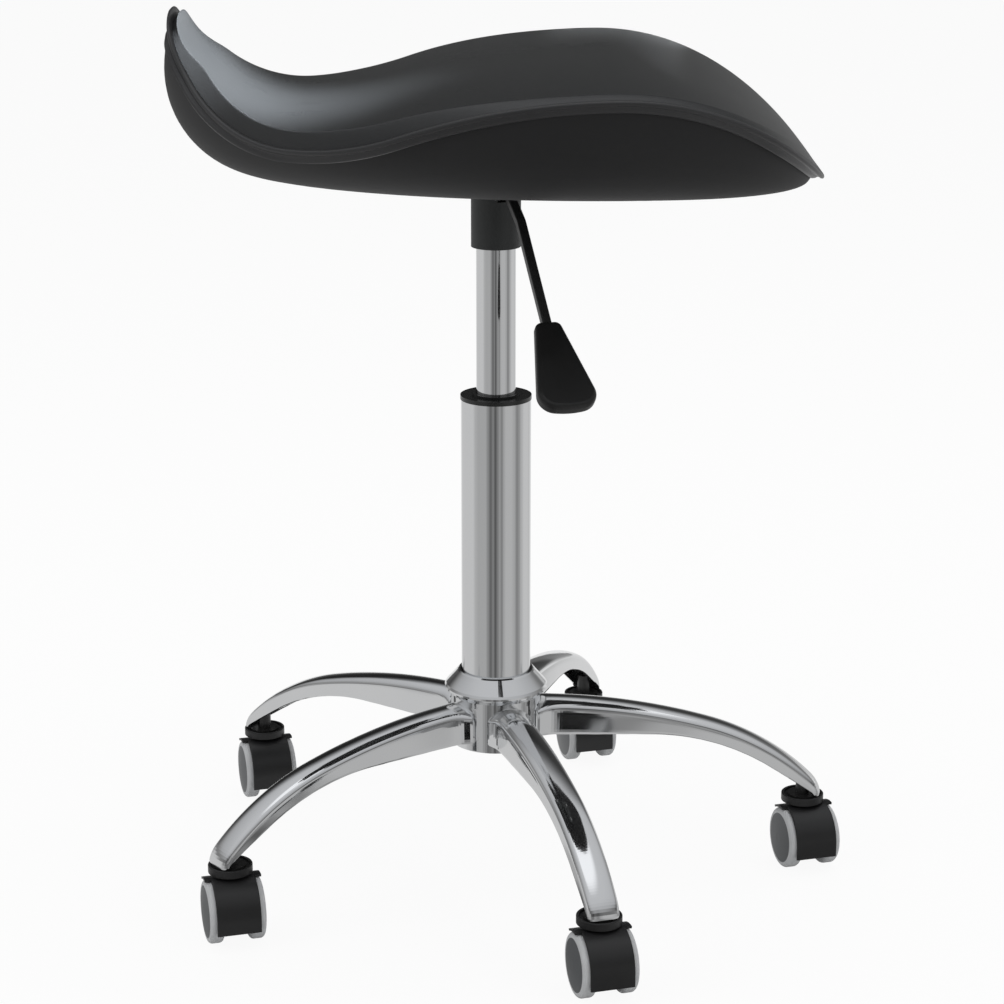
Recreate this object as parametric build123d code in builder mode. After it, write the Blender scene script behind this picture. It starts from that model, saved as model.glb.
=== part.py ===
from build123d import *
import math
import os

# Salon stool: a waved saddle seat on a gas lift, a five-armed plated base and twin-wheel casters.
# The origin is on the floor at the column's axis, +Z is up and +X runs along the seat to its lower edge.

# Seat wave, side view: four tangent arcs from the raised rear tip to the falling front edge
rear_tip_x = -221.5
front_tip_x = 224.5
valley_x = -134.0
valley_rise = 35.0
crest_x = 76.0
crest_rise = 73.0
rear_radius = 89.0
front_radius = 188.0
valley_share = 0.40

# Seat outline, plan view: a long round rear half and a blunt front half
seat_half_depth = 203.0
widest_x = 44.0
rear_roundness = 1.9
front_roundness = 2.9

# Cushion, pan and lower cover
cushion_rear_inset = 1.5
cushion_front_inset = 20.0
cushion_side_inset = 2.0
cushion_rise_valley = 13.5
cushion_rise_crest = 5.5
cushion_rear_share = 0.6
cushion_crown = 6.0
cushion_band = 7.0
band_draw_in = 1.0
soft_clearance = 0.3
pan_thickness = 4.0
pan_overhang = 2.0
pan_edge_round = 1.4
seat_stations = 20
end_station_angle = 2.0
outline_points = 18
cover_wall = 3.0
cover_clearance = 0.6
cover_upright = 54.0
cover_rear_x = -227.0
cover_front_x = 221.0
cover_half_depth = 200.0
cover_bottom_rear_x = -160.0
cover_bottom_front_x = 213.0
cover_bottom_half_depth = 122.0
cover_turn_height = 70.0
cover_turn_sections = 6

# Seat block, plate and its fasteners
block_rear_x = -110.0
block_front_x = 150.0
block_half_depth = 70.0
plate_length = 150.0
plate_depth = 120.0
plate_thickness = 3.0
plate_corner = 10.0
bolt_pitch_x = 120.0
bolt_pitch_y = 90.0
bolt_diameter = 6.0
bolt_clearance = 0.3
bolt_head_diameter = 11.0
bolt_head_height = 4.0
bolt_length = 17.0
insert_diameter = 10.0
insert_length = 13.0

# Column
stand_diameter = 50.0
stand_wall = 2.0
stand_top_gap = 14.5
stand_taper_z = 150.0
stand_foot_diameter = 46.5
stand_foot_z = 97.0
stand_floor = 3.0
taper_clearance = 0.1
bush_flange_diameter = 50.8
bush_flange_height = 3.0
bush_lip_diameter = 34.0
bush_lip_height = 1.5
bush_length = 105.0
bush_fit = 0.1
slide_clearance = 0.3
tube_diameter = 28.0
tube_wall = 2.0
tube_top_z = 496.0
tube_cap = 14.0
tube_taper_length = 26.0
tube_taper = 0.8
lift_stroke = 95.0
gland_length = 18.0
rod_diameter = 10.0
rod_spigot_diameter = 8.0
rod_end_z = 93.5
piston_height = 12.0
piston_gap = 4.0
washer_diameter = 26.0
washer_thickness = 2.0
washer_clearance = 0.3
ball_diameter = 4.0
ball_gap = 0.25
ball_circle_radius = 8.5
ball_count = 10
buffer_diameter = 20.0
buffer_height = 11.0
buffer_gap = 1.5
clip_diameter = 15.0
clip_thickness = 1.5
clip_gap = 0.4
button_diameter = 6.0
button_length = 13.0
button_clearance = 0.2
socket_diameter = 35.0
socket_length = 50.5
socket_headroom = 17.0
socket_fit = 0.1

# Height lever, in the upright plane turned from the front towards the seat's lower edge
lever_turn = 17.0
lever_bar = 6.5
lever_bar_corner = 1.5
lever_axis_rise = 8.5
lever_inner_reach = -4.0
lever_pivot_reach = 24.0
lever_knee_reach = 57.5
lever_knee_fall = 16.0
lever_drop_reach = 114.5
lever_drop_fall = 74.5
lever_bend_radius = 12.0
lever_barrel_diameter = 10.0
lever_barrel_width = 11.0
lever_pin_diameter = 4.0
lever_pin_clearance = 0.15
lever_gap = 0.65
lever_slot_width = 9.0
ear_thickness = 3.0
ear_width = 12.0
ear_gap = 0.5
ear_below_pin = 5.0
paddle_tilt = 42.0
paddle_length = 70.0
paddle_top_width = 17.0
paddle_bottom_width = 44.0
paddle_bottom_bulge = 4.5
paddle_thickness = 10.0
paddle_corner = 12.0
paddle_top_corner = 5.0
paddle_edge = 3.5
paddle_grip_depth = 18.0
paddle_fit = 0.05

# Star base
arm_count = 5
arm_turn = 17.6
stem_circle_radius = 226.8
hub_radius = 33.0
hub_bottom_z = 95.5
hub_rim_radius = 37.5
hub_rim_z = 137.0
hub_rim_height = 2.0
hub_rim_round = 1.6
hub_blend = 4.0
hub_top_radius = 27.0
hub_top_z = 151.0
arm_width = 25.0
arm_root_radius = 30.0
arm_root_top_z = 129.5
arm_root_bottom_z = 99.5
arm_belly_inset = 112.0
arm_belly_z = 102.6
arm_tip_overhang = 13.4
arm_long_turn = 15.7
arm_short_bend = 178.0
arm_end_slope = 45.0
arm_under_bend = 160.0
arm_under_turn = 32.5
arm_nose_radius = 22.0
arm_nose_bottom_z = 57.2
arm_edge_round = 10.5
arm_wall = 3.5
arm_rib_insets = (139.0, 99.0, 59.0)
arm_rib_thickness = 2.5
arm_rib_depth = 7.0
stem_boss_diameter = 16.0
stem_boss_height = 9.0
stem_diameter = 10.0
stem_fit = 0.05
stem_socket_top_z = 68.0

# Casters, all turned alike
caster_turn = 16.0
caster_trail = 7.0
wheel_radius = 22.2
tread_depth = 3.9
tread_inner = 9.4
tread_width = 10.2
tread_shoulder = 2.8
wheel_dish_radius = 17.9
wheel_dish_height = 1.6
wheel_cap_radius = 4.0
wheel_bore_clearance = 0.15
wheel_side_gap = 0.6
axle_diameter = 5.0
axle_end_gap = 0.5
hood_gap = 0.7
hood_wall = 1.6
hood_half_width = 15.4
hood_edge_round = 0.8
hood_floor_gap = 13.3
hood_back_angle = 28.0
brow_half_width = 19.8
brow_front_angle = 6.0
hood_boss_radius = 9.0
cup_radius = 15.5
cup_wall = 1.8
cup_top_z = 53.4
cup_depth = 1.8
cup_bottom_z = 48.0
cup_edge_round = 0.7
swivel_depth = 12.0
swivel_diameter = 8.0
swivel_clearance = 0.2
swivel_flange_diameter = 22.0
swivel_flange_thickness = 1.6

os.makedirs("parts", exist_ok=True)


def finish(part, name):
    part.label = name
    export_step(part, f"parts/{name}.step")


# Heights of the lift and the seat, built up from the tube's top and from the bearing
plate_bottom_z = tube_top_z + socket_headroom
cover_bottom_z = plate_bottom_z + plate_thickness
valley_z = cover_bottom_z + valley_rise
crest_z = cover_bottom_z + crest_rise
cover_top_z = cover_bottom_z + cover_turn_height + cover_upright
lever_axis_z = tube_top_z + lever_axis_rise
socket_bottom_z = plate_bottom_z - socket_length
stand_top_z = socket_bottom_z - lift_stroke - stand_top_gap
bearing_z = stand_foot_z + stand_floor
ball_space = ball_diameter + 2 * ball_gap
shoulder_z = bearing_z + 2 * washer_thickness + ball_space
tube_bottom_z = shoulder_z + buffer_height + buffer_gap + lift_stroke

# Seat wave geometry
wave_turn = 2 * math.atan2(crest_z - valley_z, crest_x - valley_x)
wave_radius_sum = (crest_x - valley_x) / math.sin(wave_turn)
valley_radius = valley_share * wave_radius_sum
crest_radius = wave_radius_sum - valley_radius
inflection_x = valley_x + valley_radius * math.sin(wave_turn)


def wave_slope(x):
    """Slope angle of the wave at x, in radians."""
    if x < valley_x:
        return math.asin((x - valley_x) / rear_radius)
    if x < inflection_x:
        return math.asin((x - valley_x) / valley_radius)
    if x < crest_x:
        return math.asin((crest_x - x) / crest_radius)
    return math.asin((crest_x - x) / front_radius)


def wave_point(x, rise=0.0):
    """Point of the wave at x, raised along its normal."""
    slope = wave_slope(x)
    if x < valley_x:
        z = valley_z + rear_radius * (1 - math.cos(slope))
    elif x < inflection_x:
        z = valley_z + valley_radius * (1 - math.cos(slope))
    elif x < crest_x:
        z = crest_z - crest_radius * (1 - math.cos(slope))
    else:
        z = crest_z - front_radius * (1 - math.cos(slope))
    return x - rise * math.sin(slope), z + rise * math.cos(slope)


def wave_plane(x):
    """Plane square to the wave at x, with the seat's depth as its first axis."""
    slope = wave_slope(x)
    place_x, place_z = wave_point(x)
    return Plane(origin=(place_x, 0, place_z), x_dir=(0, 1, 0), z_dir=(math.cos(slope), 0, math.sin(slope)))


def wave_arcs(start_x, end_x, rise):
    """The wave from start to end as arcs in the current line, raised along its normal."""
    knots = [x for x in (valley_x, inflection_x, crest_x) if start_x < x < end_x]
    stops = [start_x, *knots, end_x]
    for first, last in zip(stops, stops[1:]):
        ThreePointArc(wave_point(first, rise), wave_point((first + last) / 2, rise), wave_point(last, rise))


def half_depth_at(x, rear_x, front_x, half_depth):
    """Half a plan outline's depth at x, from its round rear and blunt front."""
    reach, power = (widest_x - rear_x, rear_roundness)
    if x > widest_x:
        reach, power = (front_x - widest_x, front_roundness)
    return half_depth * (1 - abs((x - widest_x) / reach) ** power) ** (1 / power)


def cushion_rise_at(x):
    """Height of the cushion's crease above the pan."""
    share = min(max((x - valley_x) / (crest_x - valley_x), -cushion_rear_share), 1.0)
    swell = (1 + math.cos(math.pi * share)) / 2
    return cushion_rise_crest + (cushion_rise_valley - cushion_rise_crest) * swell


def seat_station(index, rear_x, front_x):
    """Places between two tips that crowd towards both."""
    spread = 180 - 2 * end_station_angle
    angle = math.radians(end_station_angle + spread * index / (seat_stations - 1))
    return (rear_x + front_x) / 2 - (front_x - rear_x) / 2 * math.cos(angle)


def outline(rear_x, front_x, half_depth):
    """A closed plan outline of the seat's kind in the current line."""
    middle = rear_x + (front_x - rear_x) * (widest_x - rear_tip_x) / (front_tip_x - rear_tip_x)
    points = []
    for index in range(outline_points):
        angle = 2 * math.pi * index / outline_points
        along, across = math.cos(angle), math.sin(angle)
        reach, power = (front_x - middle, front_roundness) if along > 0 else (middle - rear_x, rear_roundness)
        x = middle + math.copysign(reach * abs(along) ** (2 / power), along)
        y = math.copysign(half_depth * abs(across) ** (2 / power), across)
        points.append((x, y))
    Spline(*points, periodic=True)


def cover_section(index, inset):
    """Height and outline of the bowl, from its flat bottom through its turn to its upright wall."""
    turn = math.pi / 2 * min(index / cover_turn_sections, 1.0)
    grow = math.sin(turn)
    height = cover_bottom_z + inset + (cover_turn_height - inset) * (1 - math.cos(turn))
    if index > cover_turn_sections:
        height = cover_top_z
    rear = cover_bottom_rear_x + (cover_rear_x - cover_bottom_rear_x) * grow + inset
    front = cover_bottom_front_x + (cover_front_x - cover_bottom_front_x) * grow - inset
    half = cover_bottom_half_depth + (cover_half_depth - cover_bottom_half_depth) * grow - inset
    return height, (rear, front, half)


# Seat pan: a thin waved shell whose edge is the lip round the seat
with BuildPart() as seat_pan:
    for index in range(seat_stations):
        station_x = seat_station(index, rear_tip_x, front_tip_x)
        edge = half_depth_at(station_x, rear_tip_x, front_tip_x, seat_half_depth) + pan_overhang
        half = edge - pan_edge_round
        with BuildSketch(wave_plane(station_x)):
            with BuildLine():
                Line((-half, 0), (half, 0))
                ThreePointArc((half, 0), (edge, -pan_thickness / 2), (half, -pan_thickness))
                Line((half, -pan_thickness), (-half, -pan_thickness))
                ThreePointArc((-half, -pan_thickness), (-edge, -pan_thickness / 2), (-half, 0))
            make_face()
    loft()
finish(seat_pan.part, "seat_pan")

# Seat cushion: a crowned pad with a drawn-in band round its raised top
cushion_rear_x = rear_tip_x + cushion_rear_inset
cushion_front_x = front_tip_x - cushion_front_inset
cushion_half_depth = seat_half_depth - cushion_side_inset
with BuildPart() as seat_cushion:
    for index in range(seat_stations):
        station_x = seat_station(index, cushion_rear_x, cushion_front_x)
        half = half_depth_at(station_x, cushion_rear_x, cushion_front_x, cushion_half_depth)
        top_half = half - min(cushion_band, half / 2)
        crease = soft_clearance + cushion_rise_at(station_x)
        waist_y = (half + top_half) / 2 - band_draw_in
        waist_z = (soft_clearance + crease) / 2
        crown_z = crease + cushion_crown * half / cushion_half_depth
        with BuildSketch(wave_plane(station_x)):
            with BuildLine():
                Line((-half, soft_clearance), (half, soft_clearance))
                ThreePointArc((half, soft_clearance), (waist_y, waist_z), (top_half, crease))
                ThreePointArc((top_half, crease), (0, crown_z), (-top_half, crease))
                ThreePointArc((-top_half, crease), (-waist_y, waist_z), (-half, soft_clearance))
            make_face()
    loft()
finish(seat_cushion.part, "seat_cushion")


# Lower cover: a bowl that follows the pan's underside
under_pan = -(pan_thickness + cover_clearance)
with BuildPart() as seat_lower_cover:
    for inset, mode in ((0.0, Mode.ADD), (cover_wall, Mode.SUBTRACT)):
        for index in range(cover_turn_sections + 2):
            height, extents = cover_section(index, inset)
            with BuildSketch(Plane.XY.offset(height)):
                with BuildLine():
                    outline(*extents)
                make_face()
        loft(mode=mode)
    with BuildSketch(Plane.XZ):
        with BuildLine():
            rear_end = wave_point(rear_tip_x, under_pan)
            front_end = wave_point(front_tip_x, under_pan)
            wave_arcs(rear_tip_x, front_tip_x, under_pan)
            Polyline(
                front_end,
                (front_tip_x + pan_thickness, front_end[1] - pan_thickness),
                (front_tip_x + pan_thickness, cover_top_z + pan_thickness),
                (rear_end[0] - pan_thickness, cover_top_z + pan_thickness),
                (rear_end[0] - pan_thickness, rear_end[1]),
                rear_end,
            )
        make_face()
    extrude(amount=seat_half_depth + pan_overhang, both=True, mode=Mode.SUBTRACT)
    with BuildSketch(Plane.XY.offset(cover_bottom_z)):
        with GridLocations(bolt_pitch_x, bolt_pitch_y, 2, 2):
            Circle(bolt_diameter / 2 + bolt_clearance)
    extrude(amount=cover_wall, mode=Mode.SUBTRACT)
finish(seat_lower_cover.part, "seat_lower_cover")

# Seat block: timber between the pan and the cover's bottom, bored for threaded inserts
block_bottom_z = cover_bottom_z + cover_wall
with BuildPart() as seat_block:
    with BuildSketch(Plane.XZ):
        with BuildLine():
            wave_arcs(block_rear_x, block_front_x, under_pan)
            block_front_top = wave_point(block_front_x, under_pan)
            block_rear_top = wave_point(block_rear_x, under_pan)
            Polyline(
                block_front_top,
                (block_front_top[0], block_bottom_z),
                (block_rear_top[0], block_bottom_z),
                block_rear_top,
            )
        make_face()
    extrude(amount=block_half_depth, both=True)
    with Locations((0, 0, block_bottom_z)):
        with GridLocations(bolt_pitch_x, bolt_pitch_y, 2, 2):
            Cylinder(
                insert_diameter / 2,
                insert_length,
                align=(Align.CENTER, Align.CENTER, Align.MIN),
                mode=Mode.SUBTRACT,
            )
finish(seat_block.part, "seat_block")

with BuildPart() as seat_inserts:
    with BuildSketch(Plane.XY.offset(block_bottom_z)):
        with GridLocations(bolt_pitch_x, bolt_pitch_y, 2, 2):
            Circle(insert_diameter / 2)
            Circle(bolt_diameter / 2 + bolt_clearance, mode=Mode.SUBTRACT)
    extrude(amount=insert_length)
finish(seat_inserts.part, "seat_inserts")

# Seat plate: pressed steel with two ears for the lever's pin
lever_angle = math.radians(lever_turn)
lever_out = Vector(math.sin(lever_angle), -math.cos(lever_angle), 0)
lever_side = Vector(math.cos(lever_angle), math.sin(lever_angle), 0)
lever_plane = Plane(origin=(0, 0, 0), x_dir=lever_out, z_dir=-lever_side)
ear_offset = lever_barrel_width / 2 + ear_gap
with BuildPart() as seat_plate:
    with BuildSketch(Plane.XY.offset(plate_bottom_z)):
        RectangleRounded(plate_length, plate_depth, plate_corner)
        with GridLocations(bolt_pitch_x, bolt_pitch_y, 2, 2):
            Circle(bolt_diameter / 2 + bolt_clearance, mode=Mode.SUBTRACT)
    extrude(amount=plate_thickness)
    for side in (-1, 1):
        with BuildSketch(lever_plane.offset(side * (ear_offset + ear_thickness / 2))):
            ear_foot_z = lever_axis_z - ear_below_pin
            with Locations((lever_pivot_reach, (plate_bottom_z + ear_foot_z) / 2)):
                Rectangle(ear_width, plate_bottom_z - ear_foot_z)
            with Locations((lever_pivot_reach, lever_axis_z)):
                Circle(lever_pin_diameter / 2, mode=Mode.SUBTRACT)
        extrude(amount=ear_thickness / 2, both=True)
finish(seat_plate.part, "seat_plate")

with BuildPart() as seat_bolts:
    with BuildSketch(Plane.XY.offset(plate_bottom_z - bolt_head_height)):
        with GridLocations(bolt_pitch_x, bolt_pitch_y, 2, 2):
            RegularPolygon(bolt_head_diameter / 2, 6)
    extrude(amount=bolt_head_height)
    with BuildSketch(Plane.XY.offset(plate_bottom_z)):
        with GridLocations(bolt_pitch_x, bolt_pitch_y, 2, 2):
            Circle(bolt_diameter / 2)
    extrude(amount=bolt_length)
finish(seat_bolts.part, "seat_bolts")

# Socket tube under the plate, with the taper that holds the lift and a slot for the lever
tube_radius = tube_diameter / 2
taper_start_z = tube_top_z - tube_taper_length
with BuildPart() as socket_tube:
    with BuildSketch(Plane.XZ):
        with BuildLine():
            Polyline(
                (tube_radius + socket_fit, socket_bottom_z),
                (socket_diameter / 2, socket_bottom_z),
                (socket_diameter / 2, plate_bottom_z),
                (tube_radius - tube_taper + socket_fit, plate_bottom_z),
                (tube_radius - tube_taper + socket_fit, tube_top_z),
                (tube_radius + socket_fit, taper_start_z),
                close=True,
            )
        make_face()
    revolve()
    with BuildSketch(lever_plane):
        with Locations((socket_diameter / 4, (tube_top_z + plate_bottom_z) / 2)):
            Rectangle(socket_diameter, plate_bottom_z - tube_top_z)
    extrude(amount=lever_slot_width / 2, both=True, mode=Mode.SUBTRACT)
finish(socket_tube.part, "socket_tube")

# Lift: pressure tube, gland, piston rod and piston
bore_radius = tube_radius - tube_wall
button_radius = button_diameter / 2
with BuildPart() as pressure_tube:
    with BuildSketch(Plane.XZ):
        with BuildLine():
            Polyline(
                (bore_radius, tube_bottom_z),
                (tube_radius, tube_bottom_z),
                (tube_radius, taper_start_z),
                (tube_radius - tube_taper, tube_top_z),
                (button_radius + button_clearance, tube_top_z),
                (button_radius + button_clearance, tube_top_z - tube_cap),
                (bore_radius, tube_top_z - tube_cap),
                close=True,
            )
        make_face()
    revolve()
finish(pressure_tube.part, "pressure_tube")

button_top_z = lever_axis_z - lever_bar / 2 - lever_gap
with BuildPart() as release_button:
    with BuildSketch(Plane.XY.offset(button_top_z - button_length)):
        Circle(button_radius)
    extrude(amount=button_length)
    chamfer(release_button.faces().sort_by(Axis.Z)[-1].edges(), button_radius / 5)
finish(release_button.part, "release_button")

with BuildPart() as rod_gland:
    with BuildSketch(Plane.XY.offset(tube_bottom_z)):
        Circle(bore_radius)
        Circle(rod_diameter / 2 + slide_clearance, mode=Mode.SUBTRACT)
    extrude(amount=gland_length)
finish(rod_gland.part, "rod_gland")

piston_bottom_z = tube_bottom_z + gland_length + piston_gap
with BuildPart() as piston_rod:
    with BuildSketch(Plane.XZ):
        with BuildLine():
            Polyline(
                (0, rod_end_z),
                (rod_spigot_diameter / 2, rod_end_z),
                (rod_spigot_diameter / 2, shoulder_z),
                (rod_diameter / 2, shoulder_z),
                (rod_diameter / 2, piston_bottom_z + piston_height),
                (0, piston_bottom_z + piston_height),
                close=True,
            )
        make_face()
    revolve()
finish(piston_rod.part, "piston_rod")

with BuildPart() as piston:
    with BuildSketch(Plane.XY.offset(piston_bottom_z)):
        Circle(bore_radius - slide_clearance)
        Circle(rod_diameter / 2, mode=Mode.SUBTRACT)
    extrude(amount=piston_height)
finish(piston.part, "piston")

# Thrust bearing at the foot of the stand, with the clip that keeps the rod in
with BuildPart() as bearing_lower_washer:
    with BuildSketch(Plane.XY.offset(bearing_z)):
        Circle(washer_diameter / 2)
        Circle(rod_spigot_diameter / 2 + washer_clearance, mode=Mode.SUBTRACT)
    extrude(amount=washer_thickness)
finish(bearing_lower_washer.part, "bearing_lower_washer")

with BuildPart() as bearing_balls:
    with Locations((0, 0, bearing_z + washer_thickness + ball_space / 2)):
        with PolarLocations(ball_circle_radius, ball_count):
            Sphere(ball_diameter / 2)
finish(bearing_balls.part, "bearing_balls")

with BuildPart() as bearing_upper_washer:
    with BuildSketch(Plane.XY.offset(shoulder_z - washer_thickness)):
        Circle(washer_diameter / 2)
        Circle(rod_spigot_diameter / 2, mode=Mode.SUBTRACT)
    extrude(amount=washer_thickness)
finish(bearing_upper_washer.part, "bearing_upper_washer")

with BuildPart() as rod_buffer:
    with BuildSketch(Plane.XY.offset(shoulder_z)):
        Circle(buffer_diameter / 2)
        Circle(rod_diameter / 2, mode=Mode.SUBTRACT)
    extrude(amount=buffer_height)
    fillet(rod_buffer.faces().sort_by(Axis.Z)[-1].edges(), clip_thickness)
finish(rod_buffer.part, "rod_buffer")

with BuildPart() as retaining_clip:
    with BuildSketch(Plane.XY.offset(stand_foot_z - clip_gap - clip_thickness)):
        Circle(clip_diameter / 2)
        Circle(rod_spigot_diameter / 2, mode=Mode.SUBTRACT)
    extrude(amount=clip_thickness)
finish(retaining_clip.part, "retaining_clip")

# Stand tube, straight above and tapered into the hub, with its guide bush
stand_radius = stand_diameter / 2
stand_foot_radius = stand_foot_diameter / 2
with BuildPart() as stand_tube:
    with BuildSketch(Plane.XZ):
        with BuildLine():
            Polyline(
                (rod_spigot_diameter / 2 + washer_clearance, stand_foot_z),
                (stand_foot_radius, stand_foot_z),
                (stand_radius, stand_taper_z),
                (stand_radius, stand_top_z),
                (stand_radius - stand_wall, stand_top_z),
                (stand_radius - stand_wall, stand_taper_z),
                (stand_foot_radius - stand_wall, bearing_z),
                (rod_spigot_diameter / 2 + washer_clearance, bearing_z),
                close=True,
            )
        make_face()
    revolve()
finish(stand_tube.part, "stand_tube")

bush_bore = tube_radius + slide_clearance
with BuildPart() as guide_bush:
    with BuildSketch(Plane.XZ):
        with BuildLine():
            Polyline(
                (bush_bore, stand_top_z - bush_length),
                (stand_radius - stand_wall - bush_fit, stand_top_z - bush_length),
                (stand_radius - stand_wall - bush_fit, stand_top_z),
                (bush_flange_diameter / 2, stand_top_z),
                (bush_flange_diameter / 2, stand_top_z + bush_flange_height),
                (bush_lip_diameter / 2, stand_top_z + bush_flange_height),
                (bush_lip_diameter / 2, stand_top_z + bush_flange_height + bush_lip_height),
                (bush_bore, stand_top_z + bush_flange_height + bush_lip_height),
                close=True,
            )
        make_face()
    revolve()
finish(guide_bush.part, "guide_bush")

# Height lever: a bent rod with a pivot barrel, its pin and its paddle
paddle_slope = math.radians(paddle_tilt)
paddle_down = (math.cos(paddle_slope), -math.sin(paddle_slope))
lever_drop_z = lever_axis_z - lever_drop_fall
grip_reach = lever_drop_reach + paddle_grip_depth * paddle_down[0]
grip_z = lever_drop_z + paddle_grip_depth * paddle_down[1]
with BuildPart() as lever_rod:
    with BuildLine(lever_plane) as lever_line:
        FilletPolyline(
            (lever_inner_reach, lever_axis_z),
            (lever_pivot_reach + lever_barrel_diameter / 2, lever_axis_z),
            (lever_knee_reach, lever_axis_z - lever_knee_fall),
            (lever_drop_reach, lever_drop_z),
            (grip_reach, grip_z),
            radius=lever_bend_radius,
        )
    with BuildSketch(Plane(origin=lever_line.line @ 0, x_dir=lever_side, z_dir=lever_line.line % 0)):
        RectangleRounded(lever_bar, lever_bar, lever_bar_corner)
    sweep()
    with BuildSketch(lever_plane):
        with Locations((lever_pivot_reach, lever_axis_z)):
            Circle(lever_barrel_diameter / 2)
    extrude(amount=lever_barrel_width / 2, both=True)
    with BuildSketch(lever_plane):
        with Locations((lever_pivot_reach, lever_axis_z)):
            Circle(lever_pin_diameter / 2 + lever_pin_clearance)
    extrude(amount=lever_barrel_width, both=True, mode=Mode.SUBTRACT)
finish(lever_rod.part, "lever_rod")

with BuildPart() as lever_pin:
    with BuildSketch(lever_plane):
        with Locations((lever_pivot_reach, lever_axis_z)):
            Circle(lever_pin_diameter / 2)
    extrude(amount=ear_offset + ear_thickness, both=True)
finish(lever_pin.part, "lever_pin")

paddle_origin = lever_out * lever_drop_reach + Vector(0, 0, lever_drop_z)
paddle_axis = lever_out * paddle_down[0] + Vector(0, 0, paddle_down[1])
paddle_plane = Plane(origin=paddle_origin, x_dir=lever_side, z_dir=lever_side.cross(paddle_axis))
with BuildPart() as lever_paddle:
    with BuildSketch(paddle_plane) as paddle_face:
        with BuildLine():
            paddle_shoulder = paddle_length - paddle_bottom_bulge
            Polyline(
                (-paddle_bottom_width / 2, paddle_shoulder),
                (-paddle_top_width / 2, 0),
                (paddle_top_width / 2, 0),
                (paddle_bottom_width / 2, paddle_shoulder),
            )
            ThreePointArc(
                (paddle_bottom_width / 2, paddle_shoulder),
                (0, paddle_length),
                (-paddle_bottom_width / 2, paddle_shoulder),
            )
        make_face()
        fillet(paddle_face.vertices().group_by(Axis.Y)[-1], paddle_corner)
        fillet(paddle_face.vertices().group_by(Axis.Y)[0], paddle_top_corner)
    extrude(amount=paddle_thickness / 2, both=True)
    fillet(lever_paddle.edges(), paddle_edge)
    with BuildSketch(Plane(origin=paddle_origin, x_dir=lever_side, z_dir=paddle_axis)):
        RectangleRounded(lever_bar + 2 * paddle_fit, lever_bar + 2 * paddle_fit, lever_bar_corner)
    extrude(amount=paddle_grip_depth, mode=Mode.SUBTRACT)
finish(lever_paddle.part, "lever_paddle")


# Star base: a hub and five hollow arms that droop to the casters
nose_slope = math.radians(arm_end_slope)
arm_turn_sine = math.sin(math.radians(arm_long_turn))
nose_run = arm_nose_radius * (1 - math.sin(nose_slope))
short_run = arm_short_bend * (math.sin(nose_slope) - arm_turn_sine)
arm_tip_radius = stem_circle_radius + arm_tip_overhang
arm_long_bend = (arm_tip_radius - nose_run - short_run - arm_root_radius) / arm_turn_sine
arm_belly_radius = stem_circle_radius - arm_belly_inset


def arm_top(inset):
    """The arm's top as two tangent arcs in the current line, drawn in by an inset; gives its outer end."""
    turn = math.radians(arm_long_turn)
    long_bend = arm_long_bend - inset
    short_bend = arm_short_bend - inset
    start = (arm_root_radius, arm_root_top_z - inset)
    knee = (start[0] + long_bend * math.sin(turn), start[1] - long_bend * (1 - math.cos(turn)))
    end_radius = knee[0] + short_bend * (math.sin(nose_slope) - math.sin(turn))
    end = (end_radius, knee[1] - short_bend * (math.cos(turn) - math.cos(nose_slope)))
    TangentArc(start, knee, tangent=(1, 0))
    TangentArc(knee, end, tangent=(math.cos(turn), -math.sin(turn)))
    return end


def arm_crown_z(radius):
    """Height of the arm's top at a radius inside its long bend."""
    return arm_root_top_z - arm_long_bend + math.sqrt(arm_long_bend**2 - (radius - arm_root_radius) ** 2)


with BuildPart() as arm_channel:
    with BuildSketch(Plane.XZ):
        with BuildLine():
            channel_end = arm_top(arm_wall)
            Polyline(
                channel_end,
                (channel_end[0], 0),
                (arm_root_radius, 0),
                (arm_root_radius, arm_root_top_z - arm_wall),
            )
        make_face()
    extrude(amount=arm_width / 2 - arm_wall, both=True)
    fillet(arm_channel.edges().filter_by(GeomType.CIRCLE), arm_edge_round - arm_wall)
    with BuildSketch():
        with Locations((stem_circle_radius, 0)):
            Circle(stem_boss_diameter / 2)
    extrude(amount=arm_root_top_z, mode=Mode.SUBTRACT)
    for rib_inset in arm_rib_insets:
        rib_radius = stem_circle_radius - rib_inset
        rib_bottom_z = arm_crown_z(rib_radius) - arm_wall - arm_rib_depth
        with BuildSketch(Plane.XY.offset(rib_bottom_z)):
            with Locations((rib_radius, 0)):
                Rectangle(arm_rib_thickness, arm_width)
        extrude(amount=arm_rib_depth + arm_wall, mode=Mode.SUBTRACT)

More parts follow.
